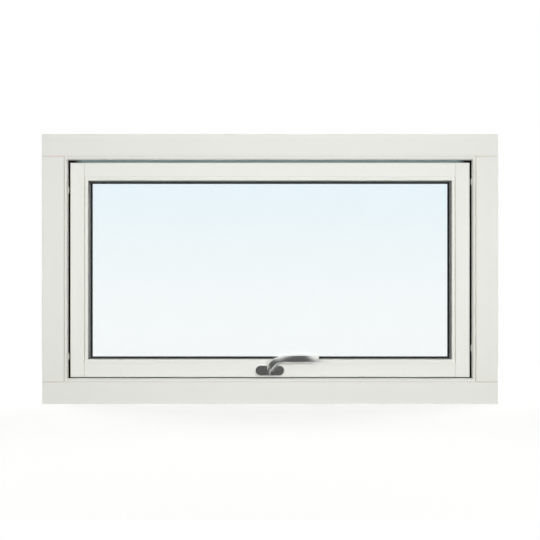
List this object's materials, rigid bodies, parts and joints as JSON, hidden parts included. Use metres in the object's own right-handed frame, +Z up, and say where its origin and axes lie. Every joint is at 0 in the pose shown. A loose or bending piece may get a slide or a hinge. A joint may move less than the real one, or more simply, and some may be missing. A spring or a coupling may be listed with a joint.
{
  "type": "top hung awning window",
  "caption": "White painted timber awning window: rebated frame, top hung sash that swings outwards, sealed glass unit and a curved lever handle on the lower rail.",
  "frame": {"origin": "middle of the sill's underside, halfway through the frame's depth", "axes": "+X to the right seen from the room, +Y out of doors, +Z up"},
  "size_m": [0.98, 0.1404, 0.58],
  "materials": {
    "painted_timber": "white satin paint",
    "cover_plastic": "off-white plastic",
    "zinc_plated_steel": "zinc plated",
    "seal_rubber": "matt black",
    "clear_glass": "clear float glass",
    "spacer_aluminium": "perforated mill aluminium",
    "satin_nickel": "satin nickel plate"
  },
  "bodies": {
    "frame": {"frame_head": "painted_timber", "frame_sill": "painted_timber", "frame_left_jamb": "painted_timber", "frame_right_jamb": "painted_timber", "fixing_cover_left_upper": "cover_plastic", "fixing_cover_left_lower": "cover_plastic", "fixing_cover_right_upper": "cover_plastic", "fixing_cover_right_lower": "cover_plastic", "hinge_frame_leaf_left": "zinc_plated_steel", "hinge_frame_leaf_right": "zinc_plated_steel", "hinge_pin_left": "zinc_plated_steel", "hinge_pin_right": "zinc_plated_steel"},
    "sash": {"sash_top_rail": "painted_timber", "sash_bottom_rail": "painted_timber", "sash_left_stile": "painted_timber", "sash_right_stile": "painted_timber", "inner_pane": "clear_glass", "middle_pane": "clear_glass", "outer_pane": "clear_glass", "inner_spacer_bar": "spacer_aluminium", "outer_spacer_bar": "spacer_aluminium", "inner_glazing_gasket": "seal_rubber", "outer_glazing_gasket": "seal_rubber", "glazing_bead_top": "painted_timber", "glazing_bead_bottom": "painted_timber", "glazing_bead_left": "painted_timber", "glazing_bead_right": "painted_timber", "weather_seal_top": "seal_rubber", "weather_seal_bottom": "seal_rubber", "weather_seal_left": "seal_rubber", "weather_seal_right": "seal_rubber", "hinge_sash_leaf_left": "zinc_plated_steel", "hinge_sash_leaf_right": "zinc_plated_steel", "lock_faceplate": "zinc_plated_steel", "handle_rosette": "satin_nickel"},
    "handle": {"handle_lever": "satin_nickel"}
  },
  "joints": [
    {"name": "sash_hinge", "type": "hinge", "parent": "frame", "child": "sash", "pos_m": [0, 0.051, 0.535], "axis": [1, 0, 0], "range_deg": [0, 45]},
    {"name": "handle_turn", "type": "hinge", "parent": "sash", "child": "handle", "pos_m": [0, -0.035, 0.0715], "axis": [0, -1, 0], "range_deg": [0, 90]}
  ]
}
